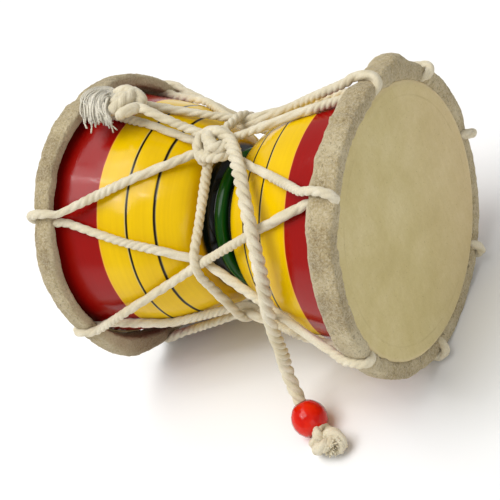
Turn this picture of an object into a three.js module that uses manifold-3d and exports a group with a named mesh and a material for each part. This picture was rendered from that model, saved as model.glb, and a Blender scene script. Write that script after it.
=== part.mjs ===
// Damaru: a small hourglass hand drum lying on its side, resting on its two
// hide-wrapped hoops. Millimetres, +Z up. The drum's axis runs along X; the
// origin is on the surface it lies on, under the middle of the drum.
import * as THREE from 'three';
import { mergeVertices } from 'three/addons/utils/BufferGeometryUtils.js';
import Module from 'manifold-3d';

const wasm = await Module();
wasm.setup();

// ---------------------------------------------------------------- sizes
const AXIS_HEIGHT = 61.9;      // drum axis above the surface it lies on
const SHIFT_Y = 0.43;          // brings the middle of the drum over the origin
const GAP = 0.3;               // air between touching pieces

// turned wooden body, one half from the waist outwards: [x, radius]
const WAIST_RING = [[0, 30.0], [1.8, 29.3], [2.9, 26.8]];
const GROOVE = [[4.4, 26.0], [6.8, 27.8]];
const BOWL = [[8.3, 31.2], [11.3, 35.9], [16.6, 39.8], [22.7, 43.1], [33.8, 47.9], [47.2, 50.8], [60.0, 52.9], [71.8, 55.0]];
const BORE = [[71.8, 50.0], [38.0, 42.0], [24.0, 33.6], [12.0, 23.4], [0, 19.5]];
const BODY_SIDES = 36;

// drumheads
const HEAD_RADIUS = 55.7;
const HEAD_INNER_X = 72.1;
const HEAD_OUTER_X = 73.2;
const HEAD_SIDES = 36;

// hoops: hide rolled round a cane ring, standing round each rim
const HOOP_SECTION = [[64.4, 61.5], [65.8, 62.8], [73.0, 62.8], [74.4, 61.4], [74.4, 58.4], [73.0, 57.0], [65.6, 57.0], [64.4, 58.3]];
const HOOP_SIDES = 52;
const HOOP_PINCH = 0.7;        // how far the lacing draws the hoop in
const HOOP_FLAT = AXIS_HEIGHT; // pressed flat where the drum rests
const HOOP_LEAN = 1.2;
const NEAR_FLAP = [124, 3.4, 8]; // angle, height and half width of a lap in the hide
const FAR_FLAP = [-38, 3.6, 16];

// lacing: one cord, zigzag between the hoops, seven turns on each
const LACE_RADIUS = 1.95;
const LACE_SIDES = 5;
const TURN_STEPS = 7;
const STRAND_STEPS = 9;
const NEAR_TURNS = [147, 107, 57, -10, -70, -120, -169];
const FAR_TURNS = [156, 101, 46, -10, -62, -113, -155.5];
const CROSSINGS = [[-4, 128], [-2, 94], [-4, 20], [-4, -38], [-4, -90], [-4, -138], [-4, -185]];
const TURN_SPREAD = 1.9;       // degrees from the middle of a turn to each leg
const LACE_CLEAR = LACE_RADIUS + 0.35;
const LACE_SEAT = [11.3, 35.9]; // the cords stand clear of the waist inside this x, at this level

// cord round the waist, over the crossings
const BELT_RADIUS = 1.9;
const BELT_LEVEL = 43.4;

// striker cord with its bead and end knot
const STRIKER_RADIUS = 2.85;
const BEAD_RADIUS = 7.8;

// ---------------------------------------------------------------- helpers
const rad = THREE.MathUtils.degToRad;
// a point at x along the axis, at a radius and an angle: 0 is -Y, 90 is up
const at = (x, r, deg) => new THREE.Vector3(x, -r * Math.cos(rad(deg)), r * Math.sin(rad(deg)));

function closed(geometry) {
  const g = geometry.index ? geometry.toNonIndexed() : geometry.clone();
  g.deleteAttribute('normal');
  g.deleteAttribute('uv');
  g.clearGroups();
  return mergeVertices(g, 1e-4);
}

function solid(geometry) {
  const g = closed(geometry);
  const m = new wasm.Manifold(new wasm.Mesh({
    numProp: 3,
    vertProperties: new Float32Array(g.attributes.position.array),
    triVerts: new Uint32Array(g.index.array),
  }));
  return m;
}

function shape(manifold) {
  const mesh = manifold.getMesh();
  const g = new THREE.BufferGeometry();
  g.setAttribute('position', new THREE.BufferAttribute(new Float32Array(mesh.vertProperties), 3));
  g.setIndex(new THREE.BufferAttribute(new Uint32Array(mesh.triVerts), 1));
  g.computeVertexNormals();
  return g;
}

// turns a closed [x, radius] profile about the X axis
function turned(profile, sides) {
  const pts = profile.map(([x, r]) => new THREE.Vector2(r, x));
  pts.push(pts[0].clone());
  const g = new THREE.LatheGeometry(pts, sides);
  g.rotateZ(-Math.PI / 2);
  return g;
}

function section(radius, sides) {
  const s = new THREE.Shape();
  for (let i = 0; i < sides; i++) {
    const a = (i / sides) * Math.PI * 2;
    if (i === 0) s.moveTo(radius * Math.cos(a), radius * Math.sin(a));
    else s.lineTo(radius * Math.cos(a), radius * Math.sin(a));
  }
  s.closePath();
  return s;
}

function tube(points, radius, sides, steps) {
  const curve = new THREE.CatmullRomCurve3(points, false, 'centripetal');
  return new THREE.ExtrudeGeometry(section(radius, sides), { steps, extrudePath: curve, curveSegments: 1 });
}

// level the cords are drawn over: the wooden body, with its waist bridged
function bodyRadius(x) {
  const a = Math.abs(x);
  if (a <= LACE_SEAT[0]) return LACE_SEAT[1];
  for (let i = 1; i < BOWL.length; i++) {
    if (a <= BOWL[i][0]) {
      const [x0, r0] = BOWL[i - 1];
      const [x1, r1] = BOWL[i];
      return r0 + ((r1 - r0) * (a - x0)) / (x1 - x0);
    }
  }
  return BOWL[BOWL.length - 1][1];
}

// a cord drawn tight from p to q over the body
function drawnTight(p, q, n) {
  const pts = [];
  for (let i = 0; i <= n; i++) pts.push(p.clone().lerp(q, i / n));
  for (let pass = 0; pass < 160; pass++) {
    for (let i = 1; i < n; i++) {
      const m = pts[i - 1].clone().add(pts[i + 1]).multiplyScalar(0.5);
      const r = Math.hypot(m.y, m.z);
      const least = bodyRadius(m.x) + LACE_CLEAR;
      if (r < least) {
        m.y *= least / r;
        m.z *= least / r;
      }
      pts[i].copy(m);
    }
  }
  return pts;
}

// ---------------------------------------------------------------- body
const outer = [...WAIST_RING, ...GROOVE, ...BOWL];
const mirror = (list) => list.map(([x, r]) => [-x, r]).reverse();
const bodyProfile = [
  ...mirror(outer.slice(1)), ...outer,
  ...BORE, ...mirror(BORE).slice(1),
];
const body = solid(turned(bodyProfile, BODY_SIDES));

// ---------------------------------------------------------------- drumheads
function head(side) {
  const r = HEAD_RADIUS;
  const profile = [[HEAD_INNER_X, 0], [HEAD_INNER_X, r - 0.3], [HEAD_INNER_X + 0.35, r], [HEAD_OUTER_X - 0.4, r], [HEAD_OUTER_X, r - 0.6], [HEAD_OUTER_X, 0]];
  const pts = profile.map(([x, q]) => new THREE.Vector2(q, x));
  const g = new THREE.LatheGeometry(pts, HEAD_SIDES);
  g.rotateZ(-Math.PI / 2);
  if (side < 0) g.rotateY(Math.PI);
  return g;
}

// ---------------------------------------------------------------- lacing
// one turn of the cord round a hoop: the leg from the upper crossing passes
// over the hoop, rounds its front and comes back between hoop and drumhead
function turnPoints(side, deg) {
  const up = deg + TURN_SPREAD;
  const dn = deg - TURN_SPREAD;
  return [
    at(side * 59.4, 60.2, up + 0.1), at(side * 64.6, 62.9, up), at(side * 69.2, 63.4, up - 0.2),
    at(side * 73.4, 63.1, deg + 1.1), at(side * 75.4, 60.8, deg), at(side * 73.4, 58.0, deg - 1.3),
    at(side * 68.4, 57.7, dn), at(side * 63.8, 57.2, dn), at(side * 59.4, 55.5, dn),
  ];
}

const laceParts = [];
const strandPaths = [];
for (const [side, list] of [[1, NEAR_TURNS], [-1, FAR_TURNS]]) {
  for (const deg of list) laceParts.push(solid(tube(turnPoints(side, deg), LACE_RADIUS, LACE_SIDES, TURN_STEPS)));
}
for (let k = 0; k < 7; k++) {
  const nx = (k + 1) % 7;
  const wrap = k === 6 ? -360 : 0;
  const low = at(CROSSINGS[k][0], 38.3, CROSSINGS[k][1]);
  const high = at(CROSSINGS[k][0], 40.9, CROSSINGS[k][1]);
  const pair = [
    // far turn k, inner leg, to near turn k + 1, outer leg
    [at(-60.2, 55.7, FAR_TURNS[k] - TURN_SPREAD), low, at(60.2, 60.6, NEAR_TURNS[nx] + wrap + TURN_SPREAD)],
    // far turn k + 1, outer leg, to near turn k, inner leg
    [at(-60.2, 60.6, FAR_TURNS[nx] + wrap + TURN_SPREAD), high, at(60.2, 55.7, NEAR_TURNS[k] - TURN_SPREAD)],
  ];
  for (const [a, c, b] of pair) {
    const path = [...drawnTight(a, c, 14), ...drawnTight(c, b, 14).slice(1)];
    strandPaths.push(path);
    laceParts.push(solid(tube(path, LACE_RADIUS, LACE_SIDES, STRAND_STEPS)));
  }
}
const union = (list) => list.slice(1).reduce((all, next) => all.add(next), list[0]);
const lacing = union(laceParts);

// the same cords a gap thicker, to cut clearance into what they press on
const fatTurns = { 1: [], [-1]: [] };
for (const [side, list] of [[1, NEAR_TURNS], [-1, FAR_TURNS]]) {
  for (const deg of list) fatTurns[side].push(solid(tube(turnPoints(side, deg), LACE_RADIUS + GAP * 1.3, LACE_SIDES, TURN_STEPS)));
}
const fatStrands = strandPaths.map((path) => solid(tube(path, LACE_RADIUS + GAP * 1.3, LACE_SIDES, STRAND_STEPS)));
const cutAll = (from, list) => list.reduce((rest, tool) => rest.subtract(tool), from);

// ---------------------------------------------------------------- hoops
const bump = (deg, centre, width) => {
  const d = ((deg - centre + 540) % 360) - 180;
  return Math.exp(-((d / width) ** 2));
};
function hoopRadius(side, deg) {
  const turns = side > 0 ? NEAR_TURNS : FAR_TURNS;
  let grow = 0;
  for (const t of turns) grow -= HOOP_PINCH * bump(deg, t, 6);
  if (side > 0) grow += NEAR_FLAP[1] * bump(deg, NEAR_FLAP[0], NEAR_FLAP[2]);
  else grow += FAR_FLAP[1] * bump(deg, FAR_FLAP[0], FAR_FLAP[2]);
  return grow;
}
function hoop(side, extra = 0) {
  const mid = [69.4, 59.9];
  const profile = HOOP_SECTION.map(([x, r]) => [
    x + Math.sign(x - mid[0]) * extra, r + Math.sign(r - mid[1]) * extra,
  ]);
  const g = closed(turned(profile, HOOP_SIDES));
  if (side < 0) g.rotateY(Math.PI);
  const p = g.attributes.position;
  for (let i = 0; i < p.count; i++) {
    const x = p.getX(i);
    const deg = THREE.MathUtils.radToDeg(Math.atan2(p.getZ(i), -p.getY(i)));
    let r = Math.hypot(p.getY(i), p.getZ(i));
    if (r > 60) r += hoopRadius(side, deg);
    // the near hoop leans a little, standing proud of its head on one side
    const lean = side > 0 && x > 72 ? HOOP_LEAN * Math.cos(rad(deg - 50)) : 0;
    const q = at(x + lean, r, deg);
    if (q.z < -HOOP_FLAT - extra) q.z = -HOOP_FLAT - extra;
    p.setXYZ(i, q.x, q.y, q.z);
  }
  return solid(g);
}
const nearHoop = cutAll(hoop(1), fatTurns[1]);
const farHoop = cutAll(hoop(-1), fatTurns[-1]);

// ---------------------------------------------------------------- waist
function lump(centre, axes, deg, sides = 12, rings = 8) {
  const g = new THREE.SphereGeometry(1, sides, rings);
  g.rotateZ(Math.PI / 2);
  // axes: along the drum, around it, out from it
  g.scale(axes[0], axes[1], axes[2]);
  g.rotateX(rad(90 - deg));
  g.translate(centre.x, centre.y, centre.z);
  return g;
}
// over each crossing, and straight from one to the next
const beltStops = [[-2, BELT_LEVEL, CROSSINGS[1][1] - 5]];
for (let k = 2; k < 8; k++) {
  const [x, deg] = CROSSINGS[k % 7];
  const c = k === 7 ? deg - 360 : deg;
  beltStops.push([x, BELT_LEVEL - 0.3, c + 6], [x, BELT_LEVEL, c], [x, BELT_LEVEL - 0.3, c - 6]);
}
beltStops.push([-2, BELT_LEVEL, CROSSINGS[1][1] - 360 + 5]);
const beltPath = [];
beltStops.forEach((stop, i) => {
  const here = at(...stop);
  beltPath.push(here);
  if (i % 3 === 0 && i < beltStops.length - 1) for (const f of [0.35, 0.65]) beltPath.push(here.clone().lerp(at(...beltStops[i + 1]), f));
});
const beltTube = (radius) => solid(tube(beltPath, radius, 5, 42));
const waistKnotAt = (extra) => solid(lump(at(1, 45.2, 90), [10 + extra, 8 + extra, 6.4 + extra], 90));
const waistCord = cutAll(beltTube(BELT_RADIUS), [...fatStrands, waistKnotAt(GAP)]);
const waistKnot = cutAll(waistKnotAt(0), fatStrands);

// ---------------------------------------------------------------- tied end
const tieLump = solid(lump(at(-44, 60.4, 102), [8.6, 7.4, 6.4], 102));
const tassel = solid(lump(at(-57.5, 62.2, 93.5), [9.8, 9.4, 4.2], 93.5, 12, 6));
const tieKnot = cutAll(tieLump.add(tassel), [...fatStrands, ...fatTurns[-1].slice(0, 2), hoop(-1, GAP)]);

// ---------------------------------------------------------------- striker
// route of the striker cord, from the waist knot over the near bowl, down
// past its side and through the bead to the end knot lying on the surface
const STRIKER_ROUTE = [
  [2.25, 5.39, 107.94], [7.56, 1.22, 108.55], [12.41, -3.51, 109.57], [16.89, -8.64, 110.43],
  [21.07, -13.97, 110.77], [24.99, -19.46, 110.65], [28.63, -25.08, 109.93], [31.92, -30.73, 108.34],
  [34.71, -36.22, 105.57], [36.83, -41.22, 101.56], [38.19, -45.55, 96.56], [38.72, -49.09, 90.83],
  [38.36, -51.73, 84.62], [37.1, -53.41, 78.2], [35.22, -54.28, 71.75], [33.13, -54.59, 65.31],
  [31.13, -54.57, 58.83], [29.5, -54.45, 52.26], [27.86, -54.15, 45.71], [25.7, -53.53, 39.33],
  [23.25, -52.83, 33.06], [21.49, -52.89, 26.55], [21.33, -54.44, 20.01], [23.22, -57.51, 14.34],
  [26.55, -61.39, 9.92], [30.41, -65.44, 6.12], [34.43, -69.78, 2.87],
];
const BEAD_AT = [28.77, -63.71, 7.85];
const BEAD_AXIS = new THREE.Vector3(0.56, -0.60, -0.57).normalize();
const KNOT_AT = [40.4, -71.4, 5.75];
const route = STRIKER_ROUTE.map(([x, y, z]) => new THREE.Vector3(x, y, z - AXIS_HEIGHT));
const beadCentre = new THREE.Vector3(BEAD_AT[0], BEAD_AT[1], BEAD_AT[2] - AXIS_HEIGHT);
const beadTurn = new THREE.Quaternion().setFromUnitVectors(new THREE.Vector3(0, 1, 0), BEAD_AXIS);

function beadSolid(bore) {
  // cut facets in rings round a bore along the bead's axis
  const rings = [[7.05, bore], [7.2, 3.4], [5.9, 5.3], [3.6, 7.0], [1.2, 7.7], [-1.2, 7.7], [-3.6, 7.0], [-5.9, 5.3], [-7.2, 3.4], [-7.05, bore]];
  const pts = rings.reverse().map(([y, r]) => new THREE.Vector2(r, y));
  pts.push(pts[0].clone());
  const g = new THREE.LatheGeometry(pts, 12);
  g.applyQuaternion(beadTurn);
  g.translate(beadCentre.x, beadCentre.y, beadCentre.z);
  return g;
}
const knotTurn = new THREE.Quaternion().setFromUnitVectors(new THREE.Vector3(1, 0, 0), new THREE.Vector3(0.9, -0.42, 0).normalize());
function endKnotSolid() {
  const g = new THREE.SphereGeometry(1, 12, 8);
  g.scale(9.4, 6.6, 5.4);
  g.applyQuaternion(knotTurn);
  g.translate(KNOT_AT[0], KNOT_AT[1], KNOT_AT[2] - AXIS_HEIGHT);
  return g;
}
const strikerTube = (radius) => solid(tube(route, radius, 8, 20));
const bead = solid(beadSolid(STRIKER_RADIUS + 0.45));
const beadHull = new THREE.SphereGeometry(BEAD_RADIUS + 0.5, 16, 12);
beadHull.translate(beadCentre.x, beadCentre.y, beadCentre.z);
const endKnot = cutAll(solid(endKnotSolid()), [strikerTube(STRIKER_RADIUS + GAP), solid(beadHull)]);
const striker = cutAll(solid(tube(route.slice(1), STRIKER_RADIUS, 8, 20)), [waistKnotAt(GAP)]);


const group = new THREE.Group();
const finish = {
  wood: new THREE.MeshStandardMaterial({ color: 0xb8140c, roughness: 0.25, metalness: 0 }),
  skin: new THREE.MeshStandardMaterial({ color: 0xcdb987, roughness: 0.7, metalness: 0 }),
  hide: new THREE.MeshStandardMaterial({ color: 0xab9c7a, roughness: 0.95, metalness: 0 }),
  cord: new THREE.MeshStandardMaterial({ color: 0xdfd5bc, roughness: 0.95, metalness: 0 }),
  bead: new THREE.MeshStandardMaterial({ color: 0xd01a10, roughness: 0.12, metalness: 0 }),
};
function place(name, geometry, material) {
  const mesh = new THREE.Mesh(geometry, material);
  mesh.name = name;
  mesh.position.set(0, SHIFT_Y, AXIS_HEIGHT);
  group.add(mesh);
  return mesh;
}
place('drum_body', shape(body), finish.wood);
place('near_head_skin', closed(head(1)), finish.skin);
place('far_head_skin', closed(head(-1)), finish.skin);
place('near_hoop', shape(nearHoop), finish.hide);
place('far_hoop', shape(farHoop), finish.hide);
place('lacing_cord', shape(lacing), finish.cord);
place('waist_cord', shape(waistCord), finish.cord);
place('waist_knot', shape(waistKnot), finish.cord);
place('tie_knot', shape(tieKnot), finish.cord);
place('striker_cord', shape(striker), finish.cord);
place('striker_bead', shape(bead), finish.bead);
place('striker_end_knot', shape(endKnot), finish.cord);

export default group;
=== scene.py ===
# The damaru drum's looks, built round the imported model. Metres, in the model's own frame.
import bpy
import math
import numpy as np
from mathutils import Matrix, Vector


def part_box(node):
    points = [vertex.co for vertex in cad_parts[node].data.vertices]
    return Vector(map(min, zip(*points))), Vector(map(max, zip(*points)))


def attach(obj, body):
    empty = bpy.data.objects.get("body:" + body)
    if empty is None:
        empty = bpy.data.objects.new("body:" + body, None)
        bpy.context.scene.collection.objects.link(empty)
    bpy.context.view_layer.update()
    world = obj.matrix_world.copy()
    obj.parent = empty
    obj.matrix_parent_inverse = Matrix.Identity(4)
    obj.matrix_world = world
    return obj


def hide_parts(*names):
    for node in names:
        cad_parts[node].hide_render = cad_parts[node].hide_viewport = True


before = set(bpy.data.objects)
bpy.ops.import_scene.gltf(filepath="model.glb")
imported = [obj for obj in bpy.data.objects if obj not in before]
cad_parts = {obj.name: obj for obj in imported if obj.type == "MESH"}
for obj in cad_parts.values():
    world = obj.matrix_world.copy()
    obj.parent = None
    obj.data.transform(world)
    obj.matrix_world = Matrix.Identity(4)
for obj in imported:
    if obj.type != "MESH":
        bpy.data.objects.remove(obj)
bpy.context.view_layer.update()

MM = 0.001
rng = np.random.default_rng(20711)
lo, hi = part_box("drum_body")
CENTRE = np.array([(lo[i] + hi[i]) / 2 for i in range(3)]) / MM      # axis centre, mm

# ------------------------------------------------------------------ camera
FORWARD = Vector((-0.5852, 0.50062, -0.6379)).normalized()
UP = Vector((-0.04448, 0.76566, 0.6417))
RIGHT = FORWARD.cross(UP).normalized()
UP = RIGHT.cross(FORWARD).normalized()
cam_data = bpy.data.cameras.new("camera")
cam = bpy.data.objects.new("camera", cam_data)
bpy.context.scene.collection.objects.link(cam)
from mathutils import Matrix
rot = Matrix((RIGHT, UP, -FORWARD)).transposed()
cam.matrix_world = Matrix.Translation(Vector(CENTRE * MM) + Vector((0.3197, -0.2886, 0.3440))) @ rot.to_4x4()
cam_data.sensor_width = 36.0
cam_data.lens = 92.7
cam_data.clip_start = 0.01
cam_data.clip_end = 20.0
bpy.context.scene.camera = cam


# ------------------------------------------------------------------ helpers
def at(x, r, deg):
    a = math.radians(deg)
    return np.array([x, -r * math.cos(a), r * math.sin(a)])


def at_many(x, r, deg):
    a = np.radians(deg)
    return np.stack([np.broadcast_to(x, a.shape) * 1.0, -r * np.cos(a), r * np.sin(a)], -1)


def mesh_object(name, verts_mm, quads, tris=None, smooth=True, material=None, local=True):
    """verts in mm about the drum's axis centre; quads and tris are index arrays"""
    v = np.asarray(verts_mm, float)
    if local:
        v = v + CENTRE
    v = v * MM
    me = bpy.data.meshes.new(name)
    quads = np.zeros((0, 4), int) if quads is None else np.asarray(quads, int).reshape(-1, 4)
    tris = np.zeros((0, 3), int) if tris is None else np.asarray(tris, int).reshape(-1, 3)
    loops = np.concatenate([quads.ravel(), tris.ravel()])
    starts = np.concatenate([np.arange(len(quads)) * 4, len(quads) * 4 + np.arange(len(tris)) * 3])
    totals = np.concatenate([np.full(len(quads), 4), np.full(len(tris), 3)])
    me.vertices.add(len(v)); me.vertices.foreach_set("co", v.ravel())
    me.loops.add(len(loops)); me.loops.foreach_set("vertex_index", loops)
    me.polygons.add(len(starts)); me.polygons.foreach_set("loop_start", starts); me.polygons.foreach_set("loop_total", totals)
    me.update(calc_edges=True)
    me.validate()
    if smooth:
        me.polygons.foreach_set("use_smooth", np.ones(len(me.polygons), bool))
    ob = bpy.data.objects.new(name, me)
    bpy.context.scene.collection.objects.link(ob)
    if material is not None:
        me.materials.append(material)
    return ob


def grid_quads(nu, nv, wrap_u=False, wrap_v=True, base=0):
    """quads of a nu x nv grid, index = u*nv + v"""
    us = np.arange(nu if wrap_u else nu - 1)
    vs = np.arange(nv if wrap_v else nv - 1)
    U, V = np.meshgrid(us, vs, indexing="ij")
    U2 = (U + 1) % nu
    V2 = (V + 1) % nv
    q = np.stack([U * nv + V, U2 * nv + V, U2 * nv + V2, U * nv + V2], -1).reshape(-1, 4)
    return q + base


def smooth_noise(n, step, amp, seed, closed=True):
    """n samples of smooth 1-D noise with features about step samples long"""
    g = np.random.default_rng(seed)
    k = max(4, int(round(n / step)))
    c = g.normal(size=k)
    x = np.arange(n) / n * k
    i = np.floor(x).astype(int)
    f = x - i
    def at_(j):
        return c[j % k] if closed else c[np.clip(j, 0, k - 1)]
    p0, p1, p2, p3 = at_(i - 1), at_(i), at_(i + 1), at_(i + 2)
    out = 0.5 * (2 * p1 + (p2 - p0) * f + (2 * p0 - 5 * p1 + 4 * p2 - p3) * f ** 2 + (3 * p1 - p0 - 3 * p2 + p3) * f ** 3)
    return out * amp


def noise_grid(nu, nv, su, sv, amp, seed):
    """2-D noise on a grid that closes in both directions"""
    g = np.random.default_rng(seed)
    ku, kv = max(3, int(round(nu / su))), max(3, int(round(nv / sv)))
    c = g.normal(size=(ku, kv))
    def axis(n, k):
        x = np.arange(n) / n * k
        i = np.floor(x).astype(int); f = x - i
        w = np.stack([-0.5 * f + f ** 2 - 0.5 * f ** 3, 1 - 2.5 * f ** 2 + 1.5 * f ** 3,
                      0.5 * f + 2 * f ** 2 - 1.5 * f ** 3, -0.5 * f ** 2 + 0.5 * f ** 3], -1)
        j = np.stack([(i + d) % k for d in (-1, 0, 1, 2)], -1)
        m = np.zeros((n, k))
        for t in range(4):
            np.add.at(m, (np.arange(n), j[:, t]), w[:, t])
        return m
    return axis(nu, ku) @ c @ axis(nv, kv).T * amp


def catmull(points, per=12):
    """centripetal-ish smooth curve through points, resampled densely"""
    P = np.asarray(points, float)
    P = np.vstack([2 * P[0] - P[1], P, 2 * P[-1] - P[-2]])
    out = []
    for i in range(1, len(P) - 2):
        p0, p1, p2, p3 = P[i - 1], P[i], P[i + 1], P[i + 2]
        t0 = 0.0
        t1 = t0 + max(1e-6, np.linalg.norm(p1 - p0)) ** 0.5
        t2 = t1 + max(1e-6, np.linalg.norm(p2 - p1)) ** 0.5
        t3 = t2 + max(1e-6, np.linalg.norm(p3 - p2)) ** 0.5
        for s in range(per):
            t = t1 + (t2 - t1) * s / per
            a1 = (t1 - t) / (t1 - t0) * p0 + (t - t0) / (t1 - t0) * p1
            a2 = (t2 - t) / (t2 - t1) * p1 + (t - t1) / (t2 - t1) * p2
            a3 = (t3 - t) / (t3 - t2) * p2 + (t - t2) / (t3 - t2) * p3
            b1 = (t2 - t) / (t2 - t0) * a1 + (t - t0) / (t2 - t0) * a2
            b2 = (t3 - t) / (t3 - t1) * a2 + (t - t1) / (t3 - t1) * a3
            out.append((t2 - t) / (t2 - t1) * b1 + (t - t1) / (t2 - t1) * b2)
    out.append(P[-2])
    return np.array(out)


def resample(P, step):
    s = np.r_[0, np.cumsum(np.linalg.norm(np.diff(P, axis=0), axis=1))]
    n = max(4, int(round(s[-1] / step)) + 1)
    t = np.linspace(0, s[-1], n)
    return np.stack([np.interp(t, s, P[:, i]) for i in range(3)], 1), t


def frames_along(P):
    """tangents and a frame carried along without twist"""
    T = np.gradient(P, axis=0)
    T /= np.linalg.norm(T, axis=1)[:, None]
    N = np.zeros_like(P)
    ref = np.array([0.0, 0.0, 1.0]) if abs(T[0][2]) < 0.9 else np.array([1.0, 0.0, 0.0])
    n = ref - T[0] * (ref @ T[0])
    N[0] = n / np.linalg.norm(n)
    for i in range(1, len(P)):
        n = N[i - 1] - T[i] * (N[i - 1] @ T[i])
        N[i] = n / np.linalg.norm(n)
    B = np.cross(T, N)
    return T, N, B


def rope_mesh(path_mm, radius, lay, around=18, step=0.8, lobes=3, soft=0.62, hand=-1, seed=1,
              taper=(0.0, 0.0), wobble=0.04, phase=0.0, yarn=0.03, lay_noise=0.15, end_scale=(1, 1)):
    """vertices and faces of a soft twisted cord along a path. soft is how round the strands blend: 0.55 deep grooves, 0.8 faint"""
    P, s = resample(np.asarray(path_mm, float), step)
    T, N, B = frames_along(P)
    n = len(P)
    g = np.random.default_rng(seed)
    turns = s / lay
    if lay_noise:
        turns = turns + smooth_noise(n, 22 / step, lay_noise, seed + 5, closed=False)
    twist = hand * turns * 2 * np.pi + phase
    phi = np.arange(around) / around * 2 * np.pi
    a, b = soft, 1 - soft
    ang = phi[None, :] + twist[:, None]                     # angle within the section, fixed to the cord's frame
    rel = np.mod(phi[None, :] - 0 * twist[:, None], 2 * np.pi / lobes) - np.pi / lobes
    r = b * np.cos(rel) + np.sqrt(np.maximum(a * a - (b * np.sin(rel)) ** 2, 0.01))
    # the strands' own yarns, wound the other way
    r = r * (1 + yarn * np.cos(rel * lobes * 4.0 - hand * s[:, None] / lay * 2 * np.pi * 1.0))
    big = 1 + smooth_noise(n, 9 / step, wobble, seed + 1, closed=False)
    fine = 1 + g.normal(scale=0.012, size=(n, around))
    R = radius * r * big[:, None] * fine
    if taper[0] > 0:
        R *= np.clip(0.25 + 0.75 * s / taper[0], 0, 1)[:, None] ** 0.6
    if taper[1] > 0:
        R *= np.clip(0.25 + 0.75 * (s[-1] - s) / taper[1], 0, 1)[:, None] ** 0.6
    V = P[:, None, :] + R[..., None] * (np.cos(ang)[..., None] * N[:, None, :] + np.sin(ang)[..., None] * B[:, None, :])
    V = V.reshape(-1, 3)
    quads = grid_quads(n, around)
    base = len(V)
    V = np.vstack([V, P[:1] - T[:1] * radius * 0.25, P[-1:] + T[-1:] * radius * 0.25])
    k = np.arange(around)
    t0 = np.stack([np.full(around, base), k, (k + 1) % around], -1)
    t1 = np.stack([np.full(around, base + 1), (n - 1) * around + (k + 1) % around, (n - 1) * around + k], -1)
    return V, quads, np.vstack([t0, t1])


def join_meshes(parts):
    V, Q, T, base = [], [], [], 0
    for v, q, t in parts:
        V.append(v)
        if q is not None and len(q): Q.append(q + base)
        if t is not None and len(t): T.append(t + base)
        base += len(v)
    return np.vstack(V), (np.vstack(Q) if Q else None), (np.vstack(T) if T else None)


# ------------------------------------------------------------------ node helpers
def new_material(name):
    m = bpy.data.materials.new(name)
    m.use_nodes = True
    nt = m.node_tree
    nt.nodes.clear()
    out = nt.nodes.new("ShaderNodeOutputMaterial")
    p = nt.nodes.new("ShaderNodeBsdfPrincipled")
    nt.links.new(p.outputs[0], out.inputs[0])
    return m, nt, p


class N:
    """short hands for building node trees"""
    def __init__(self, nt):
        self.nt = nt
        self.tc = nt.nodes.new("ShaderNodeTexCoord")
        self.pos = self.tc.outputs["Object"]

    def link(self, a, b):
        self.nt.links.new(a, b)

    def math(self, op, a, b=None, c=None, clamp=False):
        n = self.nt.nodes.new("ShaderNodeMath"); n.operation = op; n.use_clamp = clamp
        for i, v in enumerate((a, b, c)):
            if v is None: continue
            if isinstance(v, (int, float)): n.inputs[i].default_value = v
            else: self.link(v, n.inputs[i])
        return n.outputs[0]

    def mapping(self, scale=(1, 1, 1), loc=(0, 0, 0), rot=(0, 0, 0), vec=None):
        n = self.nt.nodes.new("ShaderNodeMapping")
        self.link(vec or self.pos, n.inputs[0])
        n.inputs["Scale"].default_value = scale; n.inputs["Location"].default_value = loc; n.inputs["Rotation"].default_value = rot
        return n.outputs[0]

    def noise(self, scale, detail=3, rough=0.55, vec=None, distort=0.0):
        n = self.nt.nodes.new("ShaderNodeTexNoise")
        self.link(vec or self.pos, n.inputs["Vector"])
        n.inputs["Scale"].default_value = scale; n.inputs["Detail"].default_value = detail
        n.inputs["Roughness"].default_value = rough; n.inputs["Distortion"].default_value = distort
        return n.outputs["Fac"]

    def voronoi(self, scale, vec=None, feature="F1", random=1.0):
        n = self.nt.nodes.new("ShaderNodeTexVoronoi"); n.feature = feature
        self.link(vec or self.pos, n.inputs["Vector"]); n.inputs["Scale"].default_value = scale
        n.inputs["Randomness"].default_value = random
        return n.outputs["Distance"]

    def ramp(self, fac, stops, mode="LINEAR"):
        n = self.nt.nodes.new("ShaderNodeValToRGB"); n.color_ramp.interpolation = mode
        self.link(fac, n.inputs[0])
        el = n.color_ramp.elements
        while len(el) > 1: el.remove(el[-1])
        el[0].position = stops[0][0]; el[0].color = col(stops[0][1])
        for p, c in stops[1:]:
            e = el.new(p); e.color = col(c)
        return n.outputs[0]

    def mix(self, fac, a, b, mode="MIX"):
        n = self.nt.nodes.new("ShaderNodeMix"); n.data_type = "RGBA"; n.blend_type = mode
        if isinstance(fac, (int, float)): n.inputs[0].default_value = fac
        else: self.link(fac, n.inputs[0])
        for i, v in ((6, a), (7, b)):
            if isinstance(v, (tuple, list)): n.inputs[i].default_value = col(v)
            else: self.link(v, n.inputs[i])
        return n.outputs[2]

    def map_range(self, v, a, b, c=0.0, d=1.0, smooth=False):
        n = self.nt.nodes.new("ShaderNodeMapRange")
        if smooth: n.interpolation_type = "SMOOTHSTEP"
        self.link(v, n.inputs[0])
        for i, x in enumerate((a, b, c, d)): n.inputs[i + 1].default_value = x
        return n.outputs[0]

    def bump(self, height, strength, distance, normal=None):
        n = self.nt.nodes.new("ShaderNodeBump")
        self.link(height, n.inputs["Height"])
        n.inputs["Strength"].default_value = strength; n.inputs["Distance"].default_value = distance
        if normal is not None: self.link(normal, n.inputs["Normal"])
        return n.outputs[0]

    def xyz(self, vec=None):
        n = self.nt.nodes.new("ShaderNodeSeparateXYZ"); self.link(vec or self.pos, n.inputs[0])
        return n.outputs[0], n.outputs[1], n.outputs[2]


def srgb(r, g, b):
    f = lambda c: (c / 255 / 12.92) if c / 255 <= 0.04045 else ((c / 255 + 0.055) / 1.055) ** 2.4
    return (f(r), f(g), f(b), 1.0)


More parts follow.
